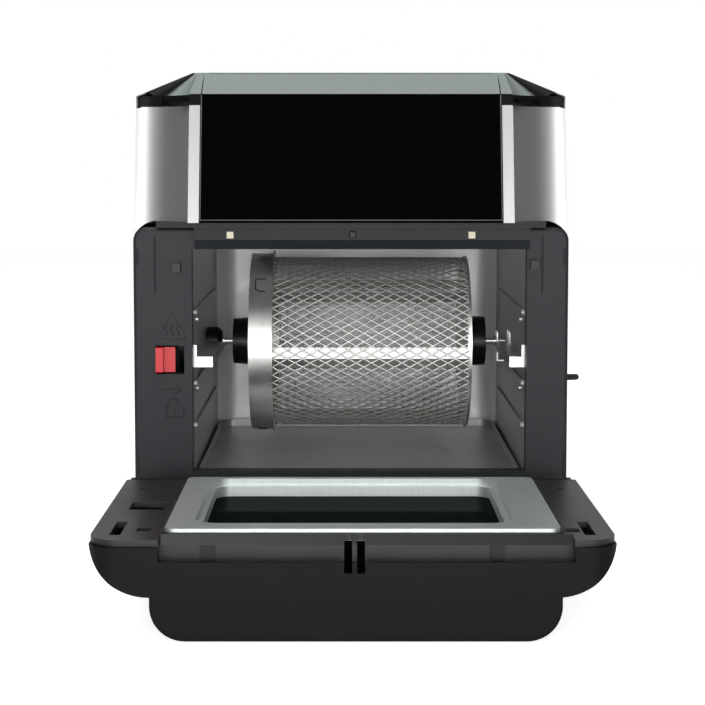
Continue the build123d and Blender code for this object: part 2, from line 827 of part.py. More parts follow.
plate_sheet = 1.2
plate_top = door_inside + wall
ledge_height = plate_top - 6.0
glass_top = plate_top - 12.0
ledge = 4.0
catch_pocket = catch_z - hinge_height + hinge_out
with BuildPart() as door_panel:
    panel(
        (-half + 1, half - 1),
        (out(panel_end), out(panel_start - 40)),
        (door_seam, door_inside),
        panel_corner,
    )
    block((-half, half), (out(panel_start), out(panel_start - 60)), (0, 200), mode=Mode.SUBTRACT)
    block(
        (trough_left, trough_right),
        (out(panel_end + 1), out(trough_start)),
        (door_seam - 1, door_inside + 1),
        mode=Mode.SUBTRACT,
    )
    with BuildSketch(Plane.YZ.offset(trough_left)):
        Polygon(
            (out(trough_start), door_inside),
            (out(trough_wall), door_seam - 1),
            (out(trough_wall), trough_floor),
            (out(door_reach - wall), trough_floor),
            (out(door_reach - wall), trough_floor - wall),
            (out(trough_wall - wall), trough_floor - wall),
            (out(trough_wall - wall), door_seam - 3),
            (out(trough_start), door_seam),
            align=None,
        )
    extrude(amount=trough_right - trough_left)
    for edge, turn in ((trough_left, -1), (trough_right, 1)):
        block(
            (edge, edge + turn * wall),
            (out(door_reach - wall), out(trough_start)),
            (trough_floor - wall, door_seam),
        )
    panel(
        (window_left - plate_sheet - gap, window_right + plate_sheet + gap),
        (out(window_near + plate_sheet + gap), out(window_far - plate_sheet - gap)),
        (door_seam - 1, door_inside + 1),
        window_corner + plate_sheet + gap,
        Mode.SUBTRACT,
    )
    block(
        (catch_x - 12, catch_x + 12),
        (out(catch_pocket + 12.5), out(catch_pocket - 12.5)),
        (door_seam - 1, door_inside + 1),
        mode=Mode.SUBTRACT,
    )
    for side in (-1, 1):
        notch = (switch_x + side * 1.5, switch_x + side * 6.5)
        block(notch, (out(door_reach), out(trough_start - 1)), (trough_floor - wall - 1, door_inside + 1), mode=Mode.SUBTRACT)
    for x, z in peg_places:
        place = z - hinge_height + hinge_out
        block(
            (x - 4.5, x + 4.5),
            (out(place + 5), out(place - 5)),
            (door_seam - 1, door_inside + 1),
            mode=Mode.SUBTRACT,
        )
    for side in (-1, 1):
        x = side * (half - 16.5)
        block((x - 3.5, x + 3.5), (out(226), out(189)), (door_seam - 1, door_inside + 1), mode=Mode.SUBTRACT)
        rod((x, out(85), door_seam - 1), (x, out(85), door_inside + 1), 2, Mode.SUBTRACT)
save(door_panel, "door_panel")

plate_left = left_wall + 2.5
plate_right = right_wall - 2.5
plate_far = 57.6
plate_near = 222.2
plate_corner = 6.0
with BuildPart() as door_plate:
    plate_x = (plate_left, plate_right)
    plate_y = (out(plate_near), out(plate_far))
    panel(plate_x, plate_y, (door_inside, plate_top), plate_corner)
    panel(
        (plate_left + plate_sheet, plate_right - plate_sheet),
        (out(plate_near - plate_sheet), out(plate_far + plate_sheet)),
        (door_inside, plate_top - plate_sheet),
        plate_corner - plate_sheet,
        Mode.SUBTRACT,
    )
    for step, low, high in ((0, ledge_height, plate_top), (ledge, glass_top, ledge_height + plate_sheet)):
        grow = plate_sheet - step
        panel(
            (window_left - grow, window_right + grow),
            (out(window_near + grow), out(window_far - grow)),
            (low, high),
            window_corner + grow,
        )
    panel(
        (window_left, window_right),
        (out(window_near), out(window_far)),
        (ledge_height + plate_sheet, plate_top + 1),
        window_corner,
        Mode.SUBTRACT,
    )
    panel(
        (window_left + ledge, window_right - ledge),
        (out(window_near - ledge), out(window_far + ledge)),
        (glass_top - 1, plate_top + 1),
        window_corner - ledge,
        Mode.SUBTRACT,
    )
save(door_plate, "door_plate")

gasket_width = 2.6
with BuildPart() as door_gasket:
    panel(
        (plate_left - gasket_width, plate_right + gasket_width),
        (out(plate_near + 1.6), out(plate_far - gasket_width)),
        (door_inside, door_inside + 0.7),
        plate_corner + gasket_width,
    )
    panel(plate_x, plate_y, (door_inside - 1, plate_top), plate_corner, Mode.SUBTRACT)
save(door_gasket, "door_gasket")

pane = 4.0
with BuildPart() as door_glass_inner:
    panel(
        (window_left + ledge - pane, window_right - ledge + pane),
        (out(window_near - ledge + pane), out(window_far + ledge - pane)),
        (glass_top - pane, glass_top),
        window_corner,
    )
save(door_glass_inner, "door_glass_inner")

with BuildPart() as door_glass_outer:
    panel(
        (window_left - pane, window_right + pane),
        (out(window_near + pane), out(window_far - pane)),
        (door_face + wall, door_face + 2 * wall),
        window_corner,
    )
save(door_glass_outer, "door_glass_outer")

handle_left = left_wall - 5.4
handle_right = right_wall - 3.4
handle_drop = 29.0
handle_y = (out(240), out(226))
with BuildPart() as door_handle:
    block((handle_left, handle_right), handle_y, (door_face - handle_drop, door_face))
    fillet(door_handle.edges().filter_by(Axis.Y).group_by(Axis.Z)[0], 22)
    fillet(door_handle.faces().sort_by(Axis.Z)[0].edges().filter_by(Axis.X), 2)
save(door_handle, "door_handle")

with BuildPart() as door_magnets:
    for side in (-1, 1):
        x = side * (pad_x - 1)
        block((x - 4.5, x + 4.5), (out(trough_wall + 1.2), out(trough_wall)), (trough_floor + 0.4, door_seam - 1.6))
save(door_magnets, "door_magnets")

# --- Mains lead, lying behind the oven -------------------------------------
cord_radius = cord_diameter / 2
relief_length = 28.0
with BuildPart() as strain_relief:
    with BuildSketch(Plane.XY.offset(relief_z)):
        with BuildLine():
            Polyline(
                (relief_x, back_y - 4),
                (relief_x + relief_neck, back_y - 4),
                (relief_x + relief_neck, back_y),
                (relief_x + 9, back_y),
                (relief_x + 9, back_y + 3),
                (relief_x + relief_neck, back_y + 3),
                (relief_x + cord_radius + 0.6, back_y + relief_length),
                (relief_x, back_y + relief_length),
                close=True,
            )
        make_face()
    revolve(axis=Axis((relief_x, 0, relief_z), (0, 1, 0)))
save(strain_relief, "strain_relief")

coil_x = 30.0
coil_y = 345.0
coil_radius = 33.0
coil_low = 0.8
coil_layers = 2
coil_pitch = 6.2
coil_high = coil_low + coil_layers * coil_pitch + cord_diameter
lead_points = [
    (relief_x, back_y + relief_length, relief_z),
    (relief_x + 1, 316.0, 84.0),
    (147.0, 341.0, 84.0),
    (178.0, 343.0, 83.6),
    (214.0, 345.0, 83.2),
    (234.0, 379.5, 79.0),
    (213.0, 413.0, 74.4),
    (176.0, 414.0, 68.0),
    (146.0, 409.0, 50.0),
    (120.0, 401.0, 27.0),
    (88.0, 389.0, 8.0),
    (58.0, 378.6, coil_low + cord_radius),
    (coil_x, coil_y + coil_radius, coil_low + cord_radius),
]
runs = [(Vector(*b) - Vector(*a)) for a, b in zip(lead_points, lead_points[1:])]
lead_radii = []
for before, after in zip(runs, runs[1:]):
    turn = math.radians(before.get_angle(after))
    lead_radii.append(0.45 * min(before.length, after.length) / math.tan(turn / 2))
print("lead radii", [round(r, 1) for r in lead_radii], "runs", [round(r.length, 1) for r in runs])

plug_length = 36.0
plug_end = coil_x - 36.0
tail_z = coil_high - cord_radius
plug_height = 18.0
with BuildPart() as power_cord:
    with BuildLine() as route:
        FilletPolyline(*lead_points, radius=lead_radii)
    with BuildSketch(Plane(origin=route.line @ 0, z_dir=route.line % 0)):
        Circle(cord_radius)
    sweep(path=route.line)
    lead_length = route.wire().length
    print("lead", round(lead_length, 1), power_cord.part.volume / (math.pi * cord_radius**2))
    tail_y = coil_y + coil_radius
    rod((coil_x, tail_y, tail_z), (plug_end - 2, tail_y, plug_height / 2), cord_radius)
    block((plug_end - 8, plug_end), (tail_y - 8, tail_y + 8), (0, plug_height), mode=Mode.SUBTRACT)
total = lead_length + coil_layers * 2 * math.pi * coil_radius + coil_x - plug_end
print("whole cord", round(total, 1))
save(power_cord, "power_cord")

with BuildPart() as cord_coil:
    with BuildSketch(Plane.XY.offset(coil_low)):
        with Locations((coil_x, coil_y)):
            Circle(coil_radius + cord_radius)
            Circle(coil_radius - cord_radius, mode=Mode.SUBTRACT)
    extrude(amount=coil_high - coil_low)
save(cord_coil, "cord_coil")

tie_half = 4.0
with BuildPart() as cord_tie:
    ring_out = coil_x + coil_radius + cord_radius
    ring_in = coil_x + coil_radius - cord_radius
    block((ring_in - 0.8, ring_out + 0.8), (coil_y - tie_half, coil_y + tie_half), (0, coil_high + 0.8))
    with BuildSketch(Plane.XY.offset(coil_low)):
        with Locations((coil_x, coil_y)):
            Circle(coil_radius + cord_radius)
            Circle(coil_radius - cord_radius - 0.2, mode=Mode.SUBTRACT)
    extrude(amount=coil_high - coil_low, mode=Mode.SUBTRACT)
save(cord_tie, "cord_tie")

plug_y = coil_y + coil_radius
with BuildPart() as plug:
    block((plug_end - plug_length, plug_end), (plug_y - 13, plug_y + 13), (0, plug_height))
    fillet(plug.edges().filter_by(Axis.X), 5)
    for side in (-1, 1):
        x = plug_end - plug_length
        y = plug_y + side * 7
        rod((x, y, plug_height / 2), (x - 19, y, plug_height / 2), 2.4)
save(plug, "plug")
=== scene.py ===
"""Countertop oven with a rotisserie basket, door folded open."""

import math

import bmesh
import bpy
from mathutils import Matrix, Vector


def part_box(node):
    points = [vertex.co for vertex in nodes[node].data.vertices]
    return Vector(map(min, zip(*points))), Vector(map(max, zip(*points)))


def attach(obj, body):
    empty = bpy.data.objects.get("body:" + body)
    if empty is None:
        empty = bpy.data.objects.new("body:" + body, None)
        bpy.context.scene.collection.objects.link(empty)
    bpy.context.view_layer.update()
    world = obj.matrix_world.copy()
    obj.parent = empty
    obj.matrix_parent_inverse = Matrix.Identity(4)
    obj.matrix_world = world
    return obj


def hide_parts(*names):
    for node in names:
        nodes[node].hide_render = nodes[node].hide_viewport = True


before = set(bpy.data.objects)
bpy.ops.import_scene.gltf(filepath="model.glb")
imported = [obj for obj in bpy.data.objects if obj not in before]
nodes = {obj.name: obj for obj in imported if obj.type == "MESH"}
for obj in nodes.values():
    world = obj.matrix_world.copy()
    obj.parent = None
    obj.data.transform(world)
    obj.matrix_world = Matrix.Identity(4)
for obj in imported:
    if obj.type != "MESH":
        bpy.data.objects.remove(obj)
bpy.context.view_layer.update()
mm = 0.001

# --- Studio -----------------------------------------------------------------
# The camera, a white surround that lights softly, a large soft key from above, two
# strips for the long highlights on the steel corners, and a fill into the cavity.
bezel_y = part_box("front_frame")[0].y
pitch = math.radians(4.0)
camera_data = bpy.data.cameras.new("camera")
camera_data.sensor_width = 36.0
focal_length = 82.7
camera_data.lens = focal_length * math.cos(pitch)
camera = bpy.data.objects.new("camera", camera_data)
camera.location = (-6 * mm, bezel_y - 1220 * mm, 300 * mm)
camera.rotation_euler = (math.pi / 2 - pitch, 0, 0)
camera_data.shift_x = 0.0135
camera_data.shift_y = -0.1165
bpy.context.scene.collection.objects.link(camera)
bpy.context.scene.camera = camera

# The surround is white to look at. As a light it is pale at the horizon, darker
# overhead, and flagged down at both sides.
world = bpy.data.worlds.new("studio")
world.use_nodes = True
sky = world.node_tree.nodes["Background"]
sky.inputs["Strength"].default_value = 0.62
white = world.node_tree.nodes.new("ShaderNodeBackground")
white.inputs["Color"].default_value = (1, 1, 1, 1)
white.inputs["Strength"].default_value = 1.0
sweep = world.node_tree.nodes.new("ShaderNodeMixShader")
rays = world.node_tree.nodes.new("ShaderNodeLightPath")
height = world.node_tree.nodes.new("ShaderNodeSeparateXYZ")
facing = world.node_tree.nodes.new("ShaderNodeTexCoord")
ramp = world.node_tree.nodes.new("ShaderNodeValToRGB")
ramp.color_ramp.elements[0].position = 0.30
ramp.color_ramp.elements[0].color = (0.9, 0.9, 0.9, 1)
ramp.color_ramp.elements[1].position = 0.9
ramp.color_ramp.elements[1].color = (0.16, 0.17, 0.17, 1)
sides = world.node_tree.nodes.new("ShaderNodeMath")
sides.operation = "ABSOLUTE"
flags = world.node_tree.nodes.new("ShaderNodeMapRange")
flags.inputs["From Min"].default_value = 0.45
flags.inputs["From Max"].default_value = 0.9
flags.inputs["To Min"].default_value = 1.0
flags.inputs["To Max"].default_value = 0.28
dim = world.node_tree.nodes.new("ShaderNodeVectorMath")
dim.operation = "SCALE"
for link in (
    (facing.outputs["Generated"], height.inputs[0]),
    (height.outputs["Z"], ramp.inputs[0]),
    (height.outputs["X"], sides.inputs[0]),
    (sides.outputs[0], flags.inputs[0]),
    (ramp.outputs[0], dim.inputs[0]),
    (flags.outputs[0], dim.inputs["Scale"]),
    (dim.outputs[0], sky.inputs["Color"]),
    (rays.outputs["Is Camera Ray"], sweep.inputs[0]),
    (sky.outputs[0], sweep.inputs[1]),
    (white.outputs[0], sweep.inputs[2]),
    (sweep.outputs[0], world.node_tree.nodes["World Output"].inputs[0]),
):
    world.node_tree.links.new(*link)
bpy.context.scene.world = world
bpy.context.scene.view_settings.view_transform = "Standard"


def studio_panel(name, place, aim, size, power):
    """A rectangular soft light that looks at one point."""
    data = bpy.data.lights.new(name, "AREA")
    data.shape = "RECTANGLE"
    data.size, data.size_y = size
    data.energy = power
    lamp = bpy.data.objects.new(name, data)
    lamp.location = place
    toward = Vector(aim) - Vector(place)
    lamp.rotation_euler = toward.to_track_quat("-Z", "Y").to_euler()
    bpy.context.scene.collection.objects.link(lamp)


studio_panel("key", (-0.3, -0.5, 1.8), (0, -0.05, 0.1), (1.4, 1.0), 18)
studio_panel("left_strip", (-0.66, -1.2, 0.8), (-0.14, 0, 0.3), (0.3, 1.0), 2.4)
studio_panel("right_strip", (0.66, -1.2, 0.8), (0.14, 0, 0.3), (0.3, 1.0), 2.4)
studio_panel("into_cavity", (0.0, -1.25, 0.24), (0, 0.1, 0.14), (1.0, 0.4), 8)


# --- Materials: one small class for the shader maths --------------------------
# A Socket wraps a shader value, so that a pattern reads as plain arithmetic.
class Finish:
    """A Principled material whose patterns are written as expressions."""

    def __init__(self, name, color, rough, metal=0.0, **fixed):
        self.material = bpy.data.materials.new(name)
        self.material.use_nodes = True
        self.tree = self.material.node_tree
        self.shader = self.tree.nodes["Principled BSDF"]
        self.set("Base Color", (*color, 1.0))
        self.set("Roughness", rough)
        self.set("Metallic", metal)
        for socket, value in fixed.items():
            self.set(socket.replace("_", " "), value)
        self.color = color

    def set(self, socket, value):
        """A constant or a link on one of the shader's own sockets."""
        if isinstance(value, Socket):
            self.tree.links.new(value.link, self.shader.inputs[socket])
        else:
            self.shader.inputs[socket].default_value = value

    def node(self, kind, settings=(), output=0, **inputs):
        """Any node: its settings first, then its sockets by name."""
        made = self.tree.nodes.new(kind)
        for key, value in dict(settings).items():
            setattr(made, key, value)
        for key, value in inputs.items():
            socket = made.inputs[key.replace("_", " ")]
            if isinstance(value, Socket):
                self.tree.links.new(value.link, socket)
            else:
                socket.default_value = value
        return Socket(self, made.outputs[output])

    def place(self, scale=(1.0, 1.0, 1.0)):
        """Object coordinates in metres, stretched by a scale along each axis."""
        where = self.node("ShaderNodeTexCoord", output=3)
        return self.node("ShaderNodeMapping", Vector=where, Scale=scale)

    def noise(self, scale, detail=3.0, stretch=(1.0, 1.0, 1.0)):
        """Soft noise from 0 to 1."""
        place = self.place(stretch)
        return self.node("ShaderNodeTexNoise", Vector=place, Scale=scale, Detail=detail)

    def shade(self, amount, low, high):
        """Base colour that varies between two factors of the plain colour."""
        dark = tuple(c * low for c in self.color) + (1.0,)
        light = tuple(min(1.0, c * high) for c in self.color) + (1.0,)
        mix = self.tree.nodes.new("ShaderNodeMix")
        mix.data_type = "RGBA"
        self.tree.links.new(amount.link, mix.inputs[0])
        mix.inputs[6].default_value = dark
        mix.inputs[7].default_value = light
        self.set("Base Color", Socket(self, mix.outputs[2]))

    def bump(self, height, distance, strength=1.0):
        """Surface relief, distance in metres."""
        relief = self.node(
            "ShaderNodeBump", Height=height, Distance=distance, Strength=strength
        )
        self.set("Normal", relief)


class Socket:
    """A shader value that takes part in arithmetic."""

    def __init__(self, finish, link):
        self.finish = finish
        self.link = link

    def _math(self, operation, first, second):
        made = self.finish.tree.nodes.new("ShaderNodeMath")
        made.operation = operation
        for socket, value in zip(made.inputs, (first, second)):
            if isinstance(value, Socket):
                self.finish.tree.links.new(value.link, socket)
            else:
                socket.default_value = value
        return Socket(self.finish, made.outputs[0])

    def __add__(self, other):
        return self._math("ADD", self, other)

    __radd__ = __add__

    def __mul__(self, other):
        return self._math("MULTIPLY", self, other)

    __rmul__ = __mul__

    def __sub__(self, other):
        return self._math("SUBTRACT", self, other)

    def __rsub__(self, other):
        return self._math("SUBTRACT", other, self)


def moulded(name, color, rough, grain=2500.0, shine=0.4):
    """Moulded plastic: a fine spark-eroded grain and faint patches of gloss."""
    finish = Finish(name, color, rough, Specular_IOR_Level=shine)
    speck = finish.noise(grain, 2.0)
    patch = finish.noise(22.0, 2.0)
    finish.shade(speck * 0.6 + patch * 0.4, 0.82, 1.2)
    finish.set("Roughness", rough - 0.06 + patch * 0.12)
    finish.bump(speck, 0.00012, 0.35)
    return finish.material


def metal(
    name,
    color,
    rough,
    stretch,
    scale=60.0,
    depth=0.00004,
    spread=0.18,
    metallic=1.0,
    span=(0.84, 1.14),
):
    """Steel with a grain drawn out along one axis by brushing or rolling."""
    finish = Finish(name, color, rough, metallic)
    grain = finish.noise(scale, 4.0, stretch)
    patch = finish.noise(14.0, 2.0)
    finish.shade(grain * 0.7 + patch * 0.3, *span)
    finish.set("Roughness", rough - spread / 2 + grain * spread)
    finish.bump(grain, depth, 0.5)
    return finish.material


def gloss(name, color, rough=0.08, coat=0.6, shine=0.5, ior=1.5):
    """Polished black surface with a trace of dust and very slight waviness."""
    finish = Finish(name, color, rough, Coat_Roughness=0.04, Specular_IOR_Level=shine, IOR=ior)
    finish.set("Coat Weight", coat)
    dust = finish.noise(420.0, 3.0)
    wave = finish.noise(9.0, 1.0)
    finish.shade(dust, 0.8, 1.5)
    finish.set("Roughness", rough + dust * 0.04)
    finish.bump(wave, 0.0004, 0.12)
    return finish.material


bezel_plastic = moulded("bezel_plastic", (0.0155, 0.0175, 0.0205), 0.5, shine=0.24)
# The next two are lit and shaded copies of one dark plastic: the door's inner face, which looks
# up, is painted lighter, and the shell, base and handle are painted darker, as light falls from
# above.
door_plastic_lit = moulded("door_plastic_lit", (0.0125, 0.0140, 0.0155), 0.36, shine=0.42)
shell_plastic_shaded = moulded("shell_plastic_shaded", (0.0034, 0.0038, 0.0044), 0.42, shine=0.12)
black_plastic = moulded("black_plastic", (0.0085, 0.0085, 0.009), 0.4, shine=0.3)
hub_plastic = moulded("hub_plastic", (0.004, 0.004, 0.0045), 0.3, shine=0.22)
red_plastic = moulded("red_plastic", (0.50, 0.012, 0.018), 0.35, 1500.0)
cream_plastic = moulded("cream_plastic", (0.74, 0.69, 0.52), 0.5)
rubber = moulded("rubber", (0.018, 0.018, 0.018), 0.62, 1800.0)
board_green = moulded("board_green", (0.03, 0.16, 0.07), 0.45)
black_glass = gloss("black_glass", (0.0012, 0.0012, 0.0014), 0.1, 0.0, 0.04, 1.12)
gloss_black = gloss("gloss_black", (0.004, 0.004, 0.0045), 0.24, 0.0, 0.12)
skin_black = gloss("skin_black", (0.007, 0.007, 0.008), 0.16, 0.2, 0.4)
brushed_trim = metal(
    "brushed_trim",
    (0.66, 0.67, 0.665),
    0.32,
    (60.0, 60.0, 1.0),
    26.0,
    0.000004,
    0.04,
    span=(0.96, 1.04),
)
# A lighter copy of the cavity steel for the back wall and roof: painted light, so they read
# brighter than the side walls and floor.
lit_cavity_steel = metal(
    "lit_cavity_steel", (0.95, 0.965, 0.965), 0.5, (1.0, 12.0, 1.0), 40.0, metallic=0.6
)
cavity_steel = metal(
    "cavity_steel", (0.40, 0.41, 0.40), 0.44, (1.0, 12.0, 1.0), 40.0, metallic=0.75
)
sheet_steel = metal("sheet_steel", (0.46, 0.46, 0.46), 0.38, (12.0, 1.0, 1.0), 40.0)
bright_steel = metal("bright_steel", (0.62, 0.62, 0.61), 0.34, (1.0, 8.0, 1.0), 60.0)
basket_steel = metal("basket_steel", (0.68, 0.68, 0.66), 0.35, (8.0, 1.0, 1.0), 80.0, 0.00001, 0.1)
plate_steel = metal("plate_steel", (0.60, 0.64, 0.62), 0.46, (6.0, 1.0, 1.0), 90.0, metallic=0.85)
tray_coat = metal("tray_coat", (0.42, 0.43, 0.425), 0.42, (3.0, 1.0, 1.0), 50.0, metallic=0.7)
heater_metal = metal("heater_metal", (0.16, 0.15, 0.14), 0.5, (1.0, 1.0, 1.0), 200.0)
fan_metal = metal("fan_metal", (0.62, 0.62, 0.62), 0.35, (4.0, 4.0, 1.0), 80.0)


def pane(name):
    """Tinted tempered glass, dark where the closed shell lies behind it."""
    finish = Finish(name, (0.004, 0.006, 0.006), 0.03, Specular_IOR_Level=0.12, IOR=1.03)
    finish.set("Alpha", 0.97)
    smear = finish.noise(26.0, 4.0)
    finish.set("Roughness", 0.03 + smear * 0.08)
    return finish.material


tinted_glass = pane("tinted_glass")


def painted_sheen_enamel(name, pale, dark):
    """Black enamel with a painted reflection: the faces that look up are painted pale, as the
    light from above would show on them, and the rims stay black.
    """
    finish = Finish(name, dark, 0.2, Specular_IOR_Level=0.4)
    normal = finish.node("ShaderNodeNewGeometry", output=1)
    up = finish.node("ShaderNodeSeparateXYZ", Vector=normal, output=2)
    # The mask paints the reflection: pale where the face looks up, black where it turns away.
    edge = finish.node("ShaderNodeClamp", Value=(up - 0.25) * 6.0)
    dust = finish.noise(300.0, 3.0)
    mix = finish.tree.nodes.new("ShaderNodeMix")
    mix.data_type = "RGBA"
    finish.tree.links.new((edge * (0.9 + dust * 0.2)).link, mix.inputs[0])
    mix.inputs[6].default_value = (*dark, 1.0)
    mix.inputs[7].default_value = (*pale, 1.0)
    finish.set("Base Color", Socket(finish, mix.outputs[2]))
    finish.set("Roughness", 0.18 + dust * 0.06)
    return finish.material


# The top's pale grey-green is a painted reflection of the light above on black enamel.
top_painted_sheen = painted_sheen_enamel("top_painted_sheen", (0.25, 0.285, 0.275), (0.006, 0.006, 0.007))

cad_finish = {
    bezel_plastic: "front_frame upper_frame",
    door_plastic_lit: "door_panel",
    shell_plastic_shaded: "base_pan door_shell door_handle",
    black_plastic: "locating_pegs door_switch switch_plunger door_magnets cord_tie",
    hub_plastic: "drive_socket hub_left hub_right",
    red_plastic: "catch_slider",
    cream_plastic: "strike_pads",
    rubber: "feet door_gasket strain_relief plug cord_coil power_cord",
    board_green: "control_board",
    black_glass: "control_glass",
    gloss_black: "control_housing",
    skin_black: "side_panel_left side_panel_right",
    top_painted_sheen: "shoulder_cap top_cover",
    brushed_trim: "trim_left trim_right",
    lit_cavity_steel: "cavity_back_wall cavity_roof",
    cavity_steel: "cavity_wall_left cavity_wall_right cavity_floor",
    sheet_steel: "back_panel fan_motor spit_motor heater_brackets hinge_brackets",
    bright_steel: "screws rail_left rail_right drive_shaft spit_stubs spit_rest "
    "hinge_pins fan_shaft",
    basket_steel: "basket_bars basket_lid basket_end basket_mesh",
    plate_steel: "door_plate",
    tray_coat: "drip_tray",
    heater_metal: "heating_element",
    fan_metal: "fan_impeller cooling_fan",
    tinted_glass: "door_glass_inner door_glass_outer",
}
for finish, names in cad_finish.items():
    for name in names.split():
        materials = nodes[name].data.materials
        materials.clear()
        materials.append(finish)

# --- Floor -------------------------------------------------------------------
# A plain pale surface under the whole set. It glows white to look at, and lights
# nothing, so that no sheet mirrors it.
floor_mesh = bpy.data.meshes.new("floor")
reach = 4.0
floor_mesh.from_pydata(
    [(-reach, -reach, 0), (reach, -reach, 0), (reach, reach, 0), (-reach, reach, 0)],
    [],
    [(0, 1, 2, 3)],
)
floor = bpy.data.objects.new("floor", floor_mesh)
bpy.context.scene.collection.objects.link(floor)
floor_finish = Finish("floor_white", (0.93, 0.93, 0.93), 0.7)
straight = floor_finish.node("ShaderNodeLightPath")
floor_glow = floor_finish.node("ShaderNodeCombineXYZ", X=straight, Y=straight, Z=straight)
floor_finish.set("Emission Color", floor_glow)
floor_finish.set("Emission Strength", 0.75)
floor_mesh.materials.append(floor_finish.material)

# --- Rotisserie basket ---------------------------------------------------------
# The drum is expanded steel: two families of flat strands that wind opposite
# ways and fuse where they cross, held between the lid's band and the end rim.
drum_low, drum_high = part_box("basket_mesh")
drum_radius = (drum_high.z - drum_low.z) / 2
drum_middle = (drum_low + drum_high) / 2
drum_length = drum_high.x - drum_low.x
diamond_width = 12.2 * mm
diamond_height = 6.9 * mm
strand_count = round(2 * math.pi * drum_radius / diamond_height)
strand_turn = drum_length / diamond_width * 2 * math.pi / strand_count


class Tree:
    """A Geometry Nodes tree whose nodes are added by one call."""

    def __init__(self, name, **sizes):
        self.group = bpy.data.node_groups.new(name, "GeometryNodeTree")
        faces = self.group.interface
        faces.new_socket("Geometry", in_out="OUTPUT", socket_type="NodeSocketGeometry")
        for size, value in sizes.items():
            kind = "NodeSocketInt" if isinstance(value, int) else "NodeSocketFloat"
            faces.new_socket(size, in_out="INPUT", socket_type=kind).default_value = value
        self.inputs = self.group.nodes.new("NodeGroupInput")
        self.end = self.group.nodes.new("NodeGroupOutput")

    def node(self, kind, settings=(), links=(), output=0):
        """Adds a node: settings first, then values or links by socket."""
        made = self.group.nodes.new(kind)
        for key, value in dict(settings).items():
            setattr(made, key, value)
        for key, value in dict(links).items():
            socket = made.inputs[key]
            if isinstance(value, bpy.types.NodeSocket):
                self.group.links.new(value, socket)
            else:
                socket.default_value = value
        return made.outputs[output]

    def size(self, name):
        """One of the tree's named inputs."""
        return self.inputs.outputs[name]

    def math(self, operation, first, second=0.0):
        """One step of arithmetic."""
        return self.node("ShaderNodeMath", {"operation": operation}, {0: first, 1: second})

    def make(self, name, geometry, material):
        """Realizes the tree as a plain mesh object of its own."""
        geometry = self.node("GeometryNodeRealizeInstances", links={0: geometry})
        geometry = self.node(
            "GeometryNodeSetMaterial", links={0: geometry, "Material": material}
        )
        self.group.links.new(geometry, self.end.inputs[0])
        holder = bpy.data.objects.new(name + "_tree", bpy.data.meshes.new(name))
        bpy.context.scene.collection.objects.link(holder)
        holder.modifiers.new("tree", "NODES").node_group = self.group
        graph = bpy.context.evaluated_depsgraph_get()
        mesh = bpy.data.meshes.new_from_object(holder.evaluated_get(graph))
        bpy.data.objects.remove(holder)
        piece = bpy.data.objects.new(name, mesh)
        bpy.context.scene.collection.objects.link(piece)
        return piece


lattice = Tree(
    "lattice",
    length=drum_length,
    radius=drum_radius - 0.5 * mm,
    turn=strand_turn,
    count=strand_count,
)
families = []
for way in (-1.0, 1.0):
    line = lattice.node("GeometryNodeCurvePrimitiveLine", links={1: (1.0, 0.0, 0.0)})
    line = lattice.node("GeometryNodeResampleCurve", links={0: line, "Count": 30})
    copies = lattice.group.nodes.new("GeometryNodeDuplicateElements")
    copies.domain = "SPLINE"
    lattice.group.links.new(line, copies.inputs["Geometry"])
    lattice.group.links.new(lattice.size("count"), copies.inputs["Amount"])
    along = lattice.node("GeometryNodeSplineParameter")
    share = lattice.math("DIVIDE", copies.outputs["Duplicate Index"], lattice.size("count"))
    angle = lattice.math("MULTIPLY", share, 2 * math.pi)
    twist = lattice.math("MULTIPLY", along, lattice.size("turn"))
    angle = lattice.math("ADD", angle, lattice.math("MULTIPLY", twist, way))
    x = lattice.math("MULTIPLY", along, lattice.size("length"))
    y = lattice.math("MULTIPLY", lattice.math("COSINE", angle), lattice.size("radius"))
    z = lattice.math("MULTIPLY", lattice.math("SINE", angle), lattice.size("radius"))
    place = lattice.node(
        "ShaderNodeCombineXYZ",
        links={
            0: lattice.math("ADD", x, drum_low.x),
            1: lattice.math("ADD", y, drum_middle.y),
            2: lattice.math("ADD", z, drum_middle.z),
        },
    )
    strands = lattice.node(
        "GeometryNodeSetPosition", links={0: copies.outputs[0], "Position": place}
    )
    families.append(strands)
joined = lattice.group.nodes.new("GeometryNodeJoinGeometry")
for strands in families:
    lattice.group.links.new(strands, joined.inputs[0])
section = lattice.node(
    "GeometryNodeCurvePrimitiveQuadrilateral", links={"Width": 0.9 * mm, "Height": 1.2 * mm}
)
drum = lattice.node(
    "GeometryNodeCurveToMesh", links={0: joined.outputs[0], 1: section, "Fill Caps": True}
)
drum = lattice.make("drum_lattice", drum, basket_steel)
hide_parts("basket_mesh")
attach(drum, "basket")


